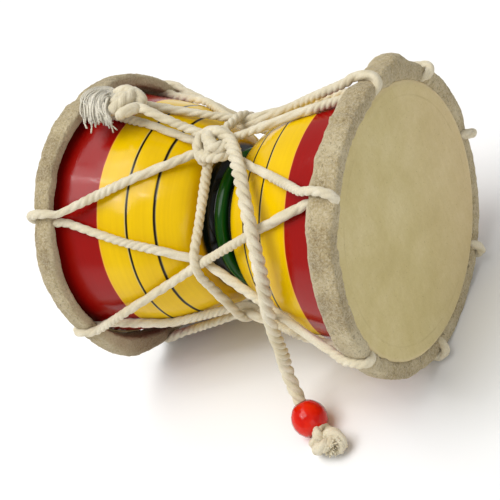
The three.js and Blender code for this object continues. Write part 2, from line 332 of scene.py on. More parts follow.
def col(c):
    return tuple(c) if len(c) == 4 else (c[0], c[1], c[2], 1.0)


# ------------------------------------------------------------------ materials
def lacquer_material():
    m, nt, p = new_material("lacquer")
    n = N(nt)
    x, y, z = n.xyz()
    wob = n.math("MULTIPLY", n.math("SUBTRACT", n.noise(38, 2), 0.5), 0.0007)
    wob2 = n.math("MULTIPLY", n.math("SUBTRACT", n.noise(260, 2), 0.5), 0.00016)
    xa = n.math("ABSOLUTE", n.math("ADD", n.math("ADD", x, wob), wob2))
    f = n.math("DIVIDE", xa, 0.08)
    red, yel = srgb(154, 12, 7), srgb(233, 192, 0)
    blk, line, edge = srgb(10, 12, 9), srgb(26, 13, 4), srgb(240, 172, 70)
    green, line_rim_highlight = srgb(14, 78, 12), srgb(214, 196, 120)
    q = lambda mm: mm / 80.0
    # painted shade: from 8.2 to 12 mm the yellow is browned and darkened towards the waist groove
    stops = [(0.0, green), (q(2.55), green), (q(2.95), srgb(8, 30, 8)), (q(3.05), blk), (q(8.0), blk), (q(8.2), srgb(150, 110, 20)), (q(8.6), srgb(220, 168, 0)), (q(12.0), yel),
             # painted highlight: a thin pale rim runs along both sides of each black line
             (q(22.05), yel), (q(22.13), line_rim_highlight), (q(22.23), line), (q(23.17), line), (q(23.27), line_rim_highlight), (q(23.35), yel),
             (q(33.15), yel), (q(33.23), line_rim_highlight), (q(33.33), line), (q(34.27), line), (q(34.37), line_rim_highlight), (q(34.45), yel),
             # painted shade: the red deepens to dark red from 64 mm out to the rim, inside the hoops' overhang
             (q(46.85), yel), (q(46.98), edge), (q(47.25), edge), (q(47.4), red), (q(64.0), red), (q(71.0), srgb(110, 4, 4))]
    base = n.ramp(f, stops)
    # thin and thick places in the lacquer
    cloud = n.map_range(n.noise(55, 4, 0.6), 0.3, 0.75, 0.0, 1.0)
    base = n.mix(n.math("MULTIPLY", cloud, 0.35), base, n.mix(1.0, base, srgb(226, 214, 200), "MULTIPLY"))
    rings = n.noise(1.0, 2, 0.5, vec=n.mapping((900, 14, 14)))
    base = n.mix(n.math("MULTIPLY", n.map_range(rings, 0.35, 0.7), 0.12), base, n.mix(1.0, base, srgb(200, 180, 150), "MULTIPLY"))
    # dust and tiny chips, mostly in the groove
    speck = n.map_range(n.noise(1500, 2, 0.7), 0.70, 0.76)
    spread = n.map_range(n.noise(180, 3, 0.6), 0.5, 0.68)
    groove = n.map_range(xa, 0.0080, 0.0088, 1.0, 0.07)
    dust = n.math("MULTIPLY", n.math("MULTIPLY", speck, spread), groove)
    base = n.mix(n.math("MULTIPLY", dust, 0.75), base, srgb(196, 188, 170))
    nt.links.new(base, p.inputs["Base Color"])
    rough = n.map_range(n.noise(90, 4, 0.6), 0.3, 0.7, 0.10, 0.20)
    rough = n.math("ADD", rough, n.math("MULTIPLY", n.map_range(n.noise(900, 3, 0.6), 0.4, 0.7), 0.05))
    rough = n.math("ADD", rough, n.math("MULTIPLY", dust, 0.4))
    nt.links.new(rough, p.inputs["Roughness"])
    p.inputs["Specular IOR Level"].default_value = 0.24
    p.inputs["IOR"].default_value = 1.5
    scr = n.map_range(n.noise(1.0, 2, 0.5, vec=n.mapping((2600, 40, 40), rot=(0, 0, 0.05))), 0.55, 0.8)
    h = n.math("ADD", n.math("MULTIPLY", n.noise(1.0, 3, 0.6, vec=n.mapping((1400, 10, 10))), 0.6), n.math("MULTIPLY", n.noise(420, 2), 0.5))
    h = n.math("ADD", h, n.math("MULTIPLY", scr, 0.25))
    groove_line = n.map_range(n.math("ABSOLUTE", n.math("SUBTRACT", n.math("PINGPONG", n.math("SUBTRACT", xa, 0.0172), 0.0), 0)), 0, 1)
    nt.links.new(n.bump(h, 0.22, 0.00012), p.inputs["Normal"])
    return m


def skin_material():
    m, nt, p = new_material("drumhead")
    n = N(nt)
    x, y, z = n.xyz()
    yy = n.math("SUBTRACT", y, float(CENTRE[1] * MM)); zz = n.math("SUBTRACT", z, float(CENTRE[2] * MM))
    r = n.math("SQRT", n.math("ADD", n.math("MULTIPLY", yy, yy), n.math("MULTIPLY", zz, zz)))
    base = n.ramp(n.noise(38, 5, 0.6), [(0.30, srgb(196, 180, 122)), (0.5, srgb(208, 193, 138)), (0.72, srgb(219, 205, 156))])
    # rosy on the side away from the striker
    side = n.map_range(n.math("ADD", n.math("MULTIPLY", yy, 1.0), n.math("MULTIPLY", zz, -0.35)), -0.005, 0.055)
    base = n.mix(n.math("MULTIPLY", side, 0.40), base, srgb(222, 194, 158))
    grain = n.map_range(n.noise(1.0, 4, 0.65, vec=n.mapping((300, 560, 240), rot=(0.5, 0, 0))), 0.3, 0.75)
    base = n.mix(n.math("MULTIPLY", grain, 0.22), base, srgb(178, 152, 92))
    pores = n.map_range(n.voronoi(780), 0.05, 0.22, 1.0, 0.0)
    pick = n.map_range(n.noise(520, 2, 0.6), 0.52, 0.6)
    pores = n.math("MULTIPLY", pores, pick)
    base = n.mix(n.math("MULTIPLY", pores, 0.62), base, srgb(120, 100, 56))
    fine = n.map_range(n.noise(1300, 3, 0.7), 0.35, 0.7)
    base = n.mix(n.math("MULTIPLY", fine, 0.16), base, srgb(160, 140, 86))
    ring = n.map_range(n.math("ABSOLUTE", n.math("SUBTRACT", r, n.math("ADD", 0.0497, n.math("MULTIPLY", n.math("SUBTRACT", n.noise(40, 2), 0.5), 0.0012)))), 0.0, 0.0006, 1.0, 0.0, True)
    broken = n.map_range(n.noise(60, 3), 0.4, 0.6)
    base = n.mix(n.math("MULTIPLY", n.math("MULTIPLY", ring, broken), 0.28), base, srgb(160, 136, 84))
    rim = n.map_range(r, 0.0538, 0.0556, 0.0, 1.0, True)
    base = n.mix(n.math("MULTIPLY", rim, 0.55), base, srgb(226, 208, 166))
    nt.links.new(base, p.inputs["Base Color"])
    nt.links.new(n.map_range(n.noise(300, 3), 0.3, 0.7, 0.55, 0.75), p.inputs["Roughness"])
    p.inputs["Specular IOR Level"].default_value = 0.35
    p.inputs["Subsurface Weight"].default_value = 0.06
    p.inputs["Subsurface Radius"].default_value = (0.004, 0.003, 0.0015)
    p.inputs["Subsurface Scale"].default_value = 0.5
    h = n.math("ADD", n.math("MULTIPLY", fine, 0.5), n.math("MULTIPLY", pores, -0.8))
    h = n.math("ADD", h, n.math("MULTIPLY", ring, 0.8))
    b = n.bump(h, 0.35, 0.00014)
    b = n.bump(n.noise(70, 4, 0.6), 0.35, 0.0009, b)
    nt.links.new(b, p.inputs["Normal"])
    return m


def hide_material():
    m, nt, p = new_material("napped_hide")
    n = N(nt)
    big = n.noise(46, 5, 0.65)
    base = n.ramp(big, [(0.30, srgb(136, 114, 74)), (0.46, srgb(172, 152, 108)), (0.60, srgb(194, 176, 134)), (0.75, srgb(212, 198, 160))])
    nap = n.map_range(n.noise(1150, 4, 0.8), 0.42, 0.62)
    base = n.mix(n.math("MULTIPLY", nap, 0.60), base, srgb(224, 212, 182))
    dark = n.map_range(n.noise(820, 4, 0.75, distort=0.8), 0.54, 0.66)
    base = n.mix(n.math("MULTIPLY", dark, 0.62), base, srgb(92, 76, 44))
    stain = n.map_range(n.noise(30, 4, 0.65), 0.54, 0.72)
    base = n.mix(n.math("MULTIPLY", stain, 0.45), base, srgb(140, 116, 70))
    x, y, z = n.xyz()
    rear = n.map_range(n.math("ABSOLUTE", x), 0.0645, 0.0672, 1.0, 0.0, True)
    base = n.mix(n.math("MULTIPLY", rear, 0.45), base, srgb(214, 200, 168))
    # painted shade: the far hoop's underside is darkened to brown
    low = n.map_range(z, 0.010, 0.045, 1.0, 0.0, True)
    far = n.map_range(x, -0.060, -0.064, 0.0, 1.0)
    base = n.mix(n.math("MULTIPLY", n.math("MULTIPLY", low, far), 0.55), base, srgb(96, 62, 28))
    nt.links.new(base, p.inputs["Base Color"])
    p.inputs["Roughness"].default_value = 0.97
    p.inputs["Specular IOR Level"].default_value = 0.15
    p.inputs["Sheen Weight"].default_value = 0.35
    p.inputs["Sheen Roughness"].default_value = 0.5
    p.inputs["Sheen Tint"].default_value = (0.95, 0.9, 0.78, 1)
    h = n.math("ADD", n.math("MULTIPLY", n.noise(900, 4, 0.75), 1.0), n.math("MULTIPLY", n.noise(2300, 2, 0.6), 0.35))
    b = n.bump(h, 1.0, 0.0010)
    b = n.bump(n.noise(260, 3, 0.65), 0.6, 0.0016, b)
    nt.links.new(b, p.inputs["Normal"])
    return m


def cotton_material(name, warm=0.0, lift=0.0):
    m, nt, p = new_material(name)
    n = N(nt)
    base = n.ramp(n.noise(120, 4, 0.6), [(0.25, srgb(204, 192, 160)), (0.5, srgb(222, 212, 186)), (0.75, srgb(236, 228, 206))])
    base = n.mix(n.math("MULTIPLY", n.map_range(n.noise(40, 3), 0.45, 0.7), 0.35 + warm), base, srgb(216, 202, 166))
    fib = n.map_range(n.noise(1900, 3, 0.7), 0.36, 0.66)
    base = n.mix(n.math("MULTIPLY", fib, 0.28), base, srgb(176, 164, 134))
    base = n.mix(lift, base, srgb(250, 245, 230))
    nt.links.new(base, p.inputs["Base Color"])
    p.inputs["Roughness"].default_value = 0.95
    p.inputs["Specular IOR Level"].default_value = 0.2
    p.inputs["Sheen Weight"].default_value = 0.4
    p.inputs["Sheen Roughness"].default_value = 0.45
    p.inputs["Sheen Tint"].default_value = (1.0, 0.97, 0.9, 1)
    p.inputs["Subsurface Weight"].default_value = 0.08
    p.inputs["Subsurface Radius"].default_value = (0.002, 0.0016, 0.001)
    p.inputs["Subsurface Scale"].default_value = 0.4
    h = n.math("ADD", n.math("MULTIPLY", n.noise(1700, 3, 0.7), 1.0), n.math("MULTIPLY", n.noise(600, 2, 0.6), 0.6))
    nt.links.new(n.bump(h, 0.6, 0.00035), p.inputs["Normal"])
    return m


def bead_material():
    m, nt, p = new_material("red_bead")
    n = N(nt)
    facing_shade_weight = nt.nodes.new("ShaderNodeLayerWeight"); facing_shade_weight.inputs[0].default_value = 0.35
    cloud = n.map_range(n.noise(160, 3, 0.5), 0.35, 0.65)
    core = n.mix(cloud, srgb(214, 20, 4), srgb(236, 40, 14))
    # painted shade: the bead's colour darkens to deep red where its facets turn away from the view
    nt.links.new(n.mix(n.map_range(facing_shade_weight.outputs["Facing"], 0.45, 0.95), core, srgb(120, 4, 2)), p.inputs["Base Color"])
    p.inputs["Roughness"].default_value = 0.07
    p.inputs["IOR"].default_value = 1.45
    p.inputs["Specular IOR Level"].default_value = 0.30
    p.inputs["Transmission Weight"].default_value = 0.12
    return m


MAT = {
    "lacquer": lacquer_material(), "skin": skin_material(), "hide": hide_material(),
    "cotton": cotton_material("cotton_lacing"), "striker": cotton_material("cotton_striker", 0.1),
    "thread": cotton_material("cotton_threads", 0.0, 0.55), "bead": bead_material(),
}

# ------------------------------------------------------------------ the drum's own sizes, mm about the axis
RING = [(0.0, 30.0), (1.7, 29.4), (2.7, 28.0), (3.0, 26.6)]
GROOVE = [(4.4, 26.0), (6.6, 27.6), (7.9, 30.2)]
BOWL = [(8.3, 31.2), (9.6, 33.7), (11.3, 35.9), (13.7, 38.0), (16.6, 39.8), (22.7, 43.1), (33.8, 47.9), (47.2, 50.8), (60.0, 52.9), (71.8, 55.0)]
BORE = [(71.8, 50.0), (38.0, 42.0), (24.0, 33.6), (12.0, 23.4), (0.0, 19.5)]
HEAD_RADIUS = 55.7
NEAR_TURNS = [147, 107, 57, -10, -70, -120, -169]
FAR_TURNS = [156, 101, 46, -10, -62, -113, -155.5]
CROSSINGS = [(-4, 128), (-2, 94), (-4, 20), (-4, -38), (-4, -90), (-4, -138), (-4, -185)]
TURN_SPREAD = 1.9
LACE_RADIUS = 1.95
LACE_CLEAR = 2.3
STRIKER_RADIUS = 2.85
BELT_RADIUS = 2.1
FLOOR = -CENTRE[2]


def body_radius(x):
    x = abs(x)
    return 35.9 if x <= 11.3 else float(np.interp(x, [p[0] for p in BOWL], [p[1] for p in BOWL]))


def turn_points(side, deg):
    up, dn = deg + TURN_SPREAD, deg - TURN_SPREAD
    return [at(side * 59.4, 60.2, up + 0.1), at(side * 64.6, 62.9, up), at(side * 69.2, 63.4, up - 0.2),
            at(side * 73.4, 63.1, deg + 1.1), at(side * 75.4, 60.8, deg), at(side * 73.4, 58.0, deg - 1.3),
            at(side * 68.4, 57.7, dn), at(side * 63.8, 57.2, dn), at(side * 59.4, 55.5, dn)]


def drawn_tight(p, q, n):
    pts = np.array([p + (q - p) * i / n for i in range(n + 1)])
    for _ in range(160):
        for i in range(1, n):
            m = (pts[i - 1] + pts[i + 1]) / 2
            r = math.hypot(m[1], m[2])
            need = body_radius(m[0]) + LACE_CLEAR
            if r < need:
                m[1] *= need / r; m[2] *= need / r
            pts[i] = m
    return pts


# ------------------------------------------------------------------ striker cord, its bead and end knot (first, because their room is measured)
STRIKER_ROUTE = [
    [2.25, 5.39, 107.94], [7.56, 1.22, 108.55], [12.41, -3.51, 109.57], [16.89, -8.64, 110.43],
    [21.07, -13.97, 110.77], [24.99, -19.46, 110.65], [28.63, -25.08, 109.93], [31.92, -30.73, 108.34],
    [34.71, -36.22, 105.57], [36.83, -41.22, 101.56], [38.19, -45.55, 96.56], [38.72, -49.09, 90.83],
    [38.36, -51.73, 84.62], [37.1, -53.41, 78.2], [35.22, -54.28, 71.75], [33.13, -54.59, 65.31],
    [31.13, -54.57, 58.83], [29.5, -54.45, 52.26], [27.86, -54.15, 45.71], [25.7, -53.53, 39.33],
    [23.25, -52.83, 33.06], [21.49, -52.89, 26.55], [21.33, -54.44, 20.01], [23.22, -57.51, 14.34],
    [26.55, -61.39, 9.92], [30.41, -65.44, 6.12], [34.43, -69.78, 2.87]]
SHIFT_Y = 0.43
route_mm = np.array(STRIKER_ROUTE) + [0, SHIFT_Y, 0]
striker_curve = catmull(route_mm, 10) - CENTRE

parts = [rope_mesh(striker_curve, STRIKER_RADIUS, 15.7, around=48, step=0.42, lobes=3, soft=0.565, hand=-1, seed=11, wobble=0.035, yarn=0.018)]
v, q, t = join_meshes(parts)
striker = mesh_object("striker_cord_twisted", v, q, t, material=MAT["striker"])

BEAD_AT = np.array([28.77, -63.71 + SHIFT_Y, 7.85]) - CENTRE
BEAD_AXIS = np.array([0.56, -0.60, -0.57]); BEAD_AXIS /= np.linalg.norm(BEAD_AXIS)
KNOT_AT = np.array([40.4, -71.4 + SHIFT_Y, 5.75]) - CENTRE
KNOT_DIR = np.array([0.9, -0.42, 0.0]); KNOT_DIR /= np.linalg.norm(KNOT_DIR)


def make_bead():
    """a faceted round bead: rings of flat cut facets round a bore"""
    rings = [(7.05, 3.3), (7.3, 3.55), (6.1, 5.15), (3.75, 6.95), (1.3, 7.75), (-1.3, 7.75), (-3.75, 6.95), (-6.1, 5.15), (-7.3, 3.55), (-7.05, 3.3)]
    n = 12
    u = np.cross(BEAD_AXIS, [0, 0, 1.0]); u /= np.linalg.norm(u)
    w = np.cross(BEAD_AXIS, u)
    V = []
    for y, r in rings:
        for i in range(n):
            a = i / n * 2 * math.pi
            V.append(BEAD_AT + BEAD_AXIS * y + (u * math.cos(a) + w * math.sin(a)) * r)
    return np.array(V), grid_quads(len(rings), n, wrap_u=True), None


v, q, t = make_bead()
bead = mesh_object("red_faceted_bead", v, q, t, smooth=False, material=MAT["bead"])


def knot_path(size, turns_from, turns_to, n=90):
    t = np.linspace(turns_from, turns_to, n)
    return np.stack([np.sin(t) + 2 * np.sin(2 * t), np.cos(t) - 2 * np.cos(2 * t), -np.sin(3 * t)], 1) * size


def placed(P, centre, ex, ey, ez):
    return centre + P[:, :1] * ex + P[:, 1:2] * ey + P[:, 2:3] * ez


# end knot: the striker cord's own strands, tied once over and teased out past the knot
kz = np.array([0, 0, 1.0])
ky = np.cross(kz, KNOT_DIR)
P = placed(knot_path(2.15, 0.35, 0.35 + 2 * math.pi * 0.93, 120), KNOT_AT - KNOT_DIR * 0.6 - kz * 0.2, KNOT_DIR * 1.1, ky * 0.85, kz * 1.0)
parts = [rope_mesh(P, 2.75, 13, around=36, step=0.42, soft=0.66, hand=-1, seed=21, wobble=0.08, yarn=0.04, taper=(3, 3))]
collar_at = BEAD_AT + BEAD_AXIS * 9.3
cu = np.cross(BEAD_AXIS, [0, 0, 1.0]); cu /= np.linalg.norm(cu)
cw = np.cross(BEAD_AXIS, cu)
turn = np.linspace(0.4, 0.4 + 2 * math.pi * 1.08, 70)
P = collar_at + np.outer(np.cos(turn), cu) * 3.5 + np.outer(np.sin(turn), cw) * 3.3 + np.outer(turn - turn.mean(), BEAD_AXIS) * 0.28
parts.append(rope_mesh(P, 2.35, 12, around=32, step=0.42, soft=0.66, hand=-1, seed=24, wobble=0.06, yarn=0.04, taper=(2, 2)))
tail_rng = np.random.default_rng(5)
for i in range(150):
    a = tail_rng.uniform(0, 2 * math.pi); rr = 3.5 * math.sqrt(tail_rng.uniform(0, 1))
    p0 = KNOT_AT + KNOT_DIR * tail_rng.uniform(0.5, 3.6) + ky * rr * math.cos(a) + kz * (rr * math.sin(a) * 0.8 - 0.3)
    spread = ky * (rr * math.cos(a) * 0.45 + tail_rng.normal(scale=0.5)) + kz * (rr * math.sin(a) * 0.35 + tail_rng.normal(scale=0.35))
    L = tail_rng.uniform(2.6, 5.6) * (1.0 - 0.35 * (rr / 3.5) ** 2)
    pts = [p0 + KNOT_DIR * L * f + spread * f ** 1.3 + tail_rng.normal(scale=0.12, size=3) for f in (0, 0.33, 0.66, 1.0)]
    pts = [np.array([p[0], p[1], max(p[2], FLOOR + 0.45)]) for p in pts]
    parts.append(rope_mesh(catmull(pts, 5), tail_rng.uniform(0.30, 0.48), 3.0, around=7, step=0.5, lobes=2, soft=0.8, seed=100 + i, wobble=0.1, yarn=0.0, lay_noise=0))
v, q, t = join_meshes(parts)
v[:, 2] = np.maximum(v[:, 2], FLOOR + 0.05)
end_knot = mesh_object("striker_end_knot_tied", v, q, t, material=MAT["striker"])

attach(striker, "root"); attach(bead, "root"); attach(end_knot, "root")
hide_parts("striker_cord"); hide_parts("striker_bead"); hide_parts("striker_end_knot")


# ------------------------------------------------------------------ turned wooden body
def make_body():
    from_bowl = [p[0] for p in BOWL]
    # smooth bowl: monotone cubic through the turned profile
    xs, rs = np.array([p[0] for p in BOWL]), np.array([p[1] for p in BOWL])
    d = np.diff(rs) / np.diff(xs)
    m = np.r_[d[0] * 1.1, (d[:-1] + d[1:]) / 2, d[-1]]
    fine_x = np.linspace(xs[0], xs[-1], 128)
    i = np.clip(np.searchsorted(xs, fine_x, side="right") - 1, 0, len(xs) - 2)
    h = (xs[i + 1] - xs[i]); s = (fine_x - xs[i]) / h
    fine_r = ((2 * s ** 3 - 3 * s ** 2 + 1) * rs[i] + (s ** 3 - 2 * s ** 2 + s) * h * m[i]
              + (-2 * s ** 3 + 3 * s ** 2) * rs[i + 1] + (s ** 3 - s ** 2) * h * m[i + 1])
    # shallow scored lines under the painted black ones
    for line in (22.7, 33.8):
        fine_r -= 0.10 * np.exp(-((fine_x - line) / 0.4) ** 2)
    ring = catmull([(p[0], p[1], 0) for p in RING], 6)[:, :2]
    ring[:, 1] = np.maximum(ring[:, 1], 26.4)
    groove = catmull([(3.0, 26.6, 0)] + [(p[0], p[1], 0) for p in GROOVE] + [(8.3, 31.2, 0)], 6)[:, :2]
    ring = [tuple(p) for p in ring]
    groove = groove[:-1]
    half = ring + [tuple(p) for p in groove[1:]] + list(zip(fine_x, fine_r))
    half = np.array(half)
    left = half[1:][::-1] * [-1, 1]
    outer = np.vstack([left, half])
    bore = np.array(BORE)
    inner = np.vstack([bore, bore[:-1][::-1] * [-1, 1]])
    inner_fine = []
    for a, b in zip(inner[:-1], inner[1:]):
        for f in np.linspace(0, 1, 8, endpoint=False): inner_fine.append(a + (b - a) * f)
    inner_fine.append(inner[-1])
    prof = np.vstack([outer, np.array(inner_fine)])
    nseg = 176
    ang = np.arange(nseg) / nseg * 360
    V = np.zeros((len(prof), nseg, 3))
    for j, (x, r) in enumerate(prof):
        V[j] = at_many(x, r, ang)
    quads = grid_quads(len(prof), nseg, wrap_u=True)
    return V.reshape(-1, 3), quads[:, ::-1], None


v, q, t = make_body()
body = mesh_object("turned_body_lacquered", v, q, t, material=MAT["lacquer"])


# ------------------------------------------------------------------ drumheads
def make_head(side):
    radii = np.r_[np.linspace(0, 50, 34)[1:], np.linspace(50, 55.0, 14)[1:], 55.3, 55.55, 55.7]
    nseg = 180
    g = np.random.default_rng(31 if side > 0 else 32)
    lump = noise_grid(nseg, 64, 24, 9, 0.05, 40 + side)
    V = [np.array([[73.2, 0, 0]])]
    ang = np.arange(nseg) / nseg * 360
    for k, r in enumerate(radii):
        roll = 0.0 if r < 53.4 else -0.55 * ((r - 53.4) / 2.3) ** 2.2
        x = 73.15 + roll + lump[:, min(63, int(r))] * (0.6 if r < 53 else 0.3)
        V.append(at_many(np.minimum(x, 73.25), r, ang))
    for x, r in ((72.3, 55.7), (72.1, 55.4), (72.1, 30.0), (72.1, 6.0)):
        V.append(at_many(x, r, ang))
    V.append(np.array([[72.1, 0, 0]]))
    V = np.vstack(V)
    rings = len(radii) + 4
    quads = grid_quads(rings, nseg, base=1)
    k = np.arange(nseg)
    last = len(V) - 1
    t0 = np.stack([np.zeros(nseg, int), 1 + k, 1 + (k + 1) % nseg], -1)
    t1 = np.stack([np.full(nseg, last), last - nseg + (k + 1) % nseg, last - nseg + k], -1)
    tris = np.vstack([t0, t1])
    if side < 0:
        V = V * [-1, 1, 1]
        return V, quads[:, ::-1], tris[:, ::-1]
    return V, quads, tris


heads = []
for side, name in ((1, "near_head"), (-1, "far_head")):
    v, q, t = make_head(side)
    heads.append(mesh_object(name + "_hide_disc", v, q[:, ::-1], t[:, ::-1], material=MAT["skin"]))


# ------------------------------------------------------------------ hoops lapped in napped hide
def bump_at(deg, centre, width):
    d = (deg - centre + 540) % 360 - 180
    return np.exp(-(d / width) ** 2)


def make_hoop(side):
    nseg, nsec = 1200, 64
    deg = np.arange(nseg) / nseg * 360
    turns = NEAR_TURNS if side > 0 else FAR_TURNS
    seed = 50 if side > 0 else 60
    # rounded section between x 64.4..74.4 and r 57..62.8
    t = np.arange(nsec) / nsec * 2 * np.pi
    ex, er = 5.0, 2.9
    p = 2 / 3.4
    sx = np.sign(np.cos(t)) * np.abs(np.cos(t)) ** p * ex
    sr = np.sign(np.sin(t)) * np.abs(np.sin(t)) ** p * er
    X = np.repeat(69.4 + sx[None, :], nseg, 0)
    R = np.repeat(59.9 + sr[None, :], nseg, 0)
    outer = np.clip(sr / er, 0, 1)[None, :]           # 1 on the outside
    front = np.clip(sx / ex, 0, 1)[None, :]           # 1 on the face beside the head
    rear = np.clip(-sx / ex, 0, 1)[None, :]
    inner = np.clip(-sr / er, 0, 1)[None, :]
    grow = np.zeros(nseg)
    for c in turns:
        grow -= 0.95 * bump_at(deg, c, 3.2) + 0.25 * bump_at(deg, c, 8)
    if side > 0: grow += 3.3 * bump_at(deg, 124, 8)
    else: grow += 3.5 * bump_at(deg, -38, 16)
    R = R + grow[:, None] * (outer ** 0.8)
    # cords bite into the face and the rear edge
    for c in turns:
        X -= (0.75 * bump_at(deg, c, 2.8))[:, None] * front * (0.4 + 0.6 * outer)
        X += (0.45 * bump_at(deg, c, 3.0))[:, None] * rear
        R += (0.4 * bump_at(deg, c - 1.5, 3.0))[:, None] * inner
    # the hide's inner lip lies against the head's rim, torn and scalloped
    lip = np.clip((X - 68.5) / 3.0, 0, 1) * inner
    R -= (1.25 + np.abs(smooth_noise(nseg, 13, 0.45, seed + 8)) + np.abs(smooth_noise(nseg, 5, 0.2, seed + 9)))[:, None] * lip
    X += (smooth_noise(nseg, 7, 0.22, seed + 10))[:, None] * lip
    # loose hide: slow swells, then wrinkles and a ragged edge
    X += smooth_noise(nseg, 46, 0.42, seed)[:, None] * front
    X += (smooth_noise(nseg, 60, 0.55, seed + 1) + smooth_noise(nseg, 17, 0.28, seed + 2))[:, None] * -rear
    R += (smooth_noise(nseg, 70, 0.22, seed + 3))[:, None] * outer
    R += noise_grid(nseg, nsec, 20, 7, 0.10, seed + 4) * (0.3 + 0.7 * outer)
    X += noise_grid(nseg, nsec, 16, 7, 0.10, seed + 5) * front
    ridges = np.abs(noise_grid(nseg, nsec, 9, 14, 0.30, seed + 11))
    R -= ridges * outer * 0.6
    X -= np.abs(noise_grid(nseg, nsec, 8, 10, 0.28, seed + 12)) * front * 0.6
    if side > 0:    # a lapped patch and folds by the cords
        for c, w, h in ((86, 1.2, 0.9), (84.5, 0.8, -0.5), (128, 2.5, 0.7), (118, 2.0, -0.7), (135, 1.6, -0.5), (36, 1.5, 0.6), (70, 1.5, 0.5)):
            R += (h * bump_at(deg, c, w))[:, None] * outer
    nap = noise_grid(nseg, nsec, 3.0, 2.0, 0.085, seed + 6)
    R += nap * np.sign(sr)[None, :]
    X += noise_grid(nseg, nsec, 3.2, 2.2, 0.05, seed + 7) * np.sign(sx)[None, :]
    if side > 0:
        X += (1.2 * np.cos(np.radians(deg - 50)))[:, None] * np.clip((X - 70.5) / 3.0, 0, 1)
    V = np.stack([X, -R * np.cos(np.radians(deg))[:, None], R * np.sin(np.radians(deg))[:, None]], -1)
    if side < 0:
        V[..., 0] *= -1
    V[..., 2] = np.maximum(V[..., 2], FLOOR + 0.02)
    quads = grid_quads(nseg, nsec, wrap_u=True)
    return V.reshape(-1, 3), (quads if side > 0 else quads[:, ::-1]), None


hoops = []
for side, name in ((1, "near_hoop"), (-1, "far_hoop")):
    v, q, t = make_hoop(side)
    hoops.append(mesh_object(name + "_napped_hide", v, q, t, material=MAT["hide"]))


# ------------------------------------------------------------------ lacing: one cord laced between the hoops
def strands(k):
    nx = (k + 1) % 7
    wrap = -360 if k == 6 else 0
    cx, ca = CROSSINGS[k]
    low, high = at(cx, 38.2, ca), at(cx, 41.2, ca)
    a = (at(-60.2, 55.7, FAR_TURNS[k] - TURN_SPREAD), low, at(60.2, 60.6, NEAR_TURNS[nx] + wrap + TURN_SPREAD))
    b = (at(-60.2, 60.6, FAR_TURNS[nx] + wrap + TURN_SPREAD), high, at(60.2, 55.7, NEAR_TURNS[k] - TURN_SPREAD))
    out = []
    for p, c, s in (a, b):
        out.append(np.vstack([drawn_tight(p, c, 14), drawn_tight(c, s, 14)[1:]]))
    return out


STRANDS = [strands(k) for k in range(7)]


def lacing_path():
    pts = []
    k = 1
    for _ in range(7):
        a = STRANDS[k % 7][0]                       # far k (inner leg) -> near k+1 (outer leg)
        pts.append(a)
        n = (k + 1) % 7
        pts.append(np.array(turn_points(1, NEAR_TURNS[n])[1:-1]))
        b = STRANDS[n][1][::-1]                     # near k+1 (inner leg) -> far k+2 (outer leg)
        pts.append(b)
        f = (k + 2) % 7
        k += 2
        if _ < 6:
            pts.append(np.array(turn_points(-1, FAR_TURNS[f])[1:-1]))
    return np.vstack(pts)


raw = lacing_path()
keep = np.r_[True, np.linalg.norm(np.diff(raw, axis=0), axis=1) > 0.3]
raw = raw[keep]
P, s = resample(catmull(raw, 6), 0.62)
kern = np.exp(-np.linspace(-2.2, 2.2, 9) ** 2 / 2); kern /= kern.sum()
Pp = np.pad(P, ((4, 4), (0, 0)), mode="edge")
P = np.stack([np.convolve(Pp[:, i], kern, "valid") for i in range(3)], 1)
print("lacing length mm", s[-1])
v, q, t = rope_mesh(P, LACE_RADIUS, 15.0, around=24, step=0.66, soft=0.68, hand=-1, seed=71, wobble=0.05, yarn=0.02, lay_noise=0.6)
lace = mesh_object("lacing_cord_twisted", v, q, t, material=MAT["cotton"])

# ------------------------------------------------------------------ belt round the waist
def belt_points():
    stops = [(-2, 43.4, 89)]
    for k in range(2, 8):
        x, d = CROSSINGS[k % 7]
        c = d - 360 if k == 7 else d
        stops += [(x, 43.1, c + 6), (x, 43.6, c), (x, 43.1, c - 6)]
    stops.append((-2, 43.4, 94 - 360 + 5))
    pts = []
    for i, stop in enumerate(stops):
        here = at(*stop)
        pts.append(here)
        if i % 3 == 0 and i < len(stops) - 1:
            pts += [here + (at(*stops[i + 1]) - here) * f for f in (0.25, 0.5, 0.75)]
    return pts


belt_pts = belt_points()
v, q, t = rope_mesh(catmull(belt_pts, 10), BELT_RADIUS, 12.0, around=24, step=0.6, soft=0.68, hand=-1, seed=81, wobble=0.05, yarn=0.02, lay_noise=0.5)
belt = mesh_object("waist_cord_twisted", v, q, t, material=MAT["cotton"])

# ------------------------------------------------------------------ waist knot and tied end, in cord
WAIST_BIGHTS = [
    [(-9.0, 41.5, 101), (-9.2, 44.6, 97.5), (-8.2, 46.4, 91.5), (-6.0, 46.6, 84.7), (-4.1, 44.6, 79.8), (-2.3, 42.0, 76.7)],
    [(-12.5, 42.5, 97.0), (-7.6, 46.0, 96.4), (-1.6, 48.0, 95.7), (5.0, 48.6, 93.6), (9.4, 46.8, 91.5), (11.0, 43.5, 88.3)],
    [(-7.5, 42.0, 85.5), (-3.2, 45.2, 80.6), (2.6, 46.4, 77.8), (8.9, 46.2, 78.8), (12.6, 44.8, 83.5), (15.2, 43.0, 88.2)],
    [(-6.6, 43.5, 97.0), (-2.4, 48.0, 91.5), (2.8, 50.0, 85.4), (8.0, 49.6, 81.6), (10.9, 48.0, 84.4), (9.6, 46.0, 90.5), (5.0, 45.0, 94.5)],
    [(0.6, 43.0, 79.2), (3.6, 47.8, 81.0), (2.0, 49.2, 87.0), (0.2, 48.6, 92.5), (-1.0, 45.0, 97.0)]]
parts = []
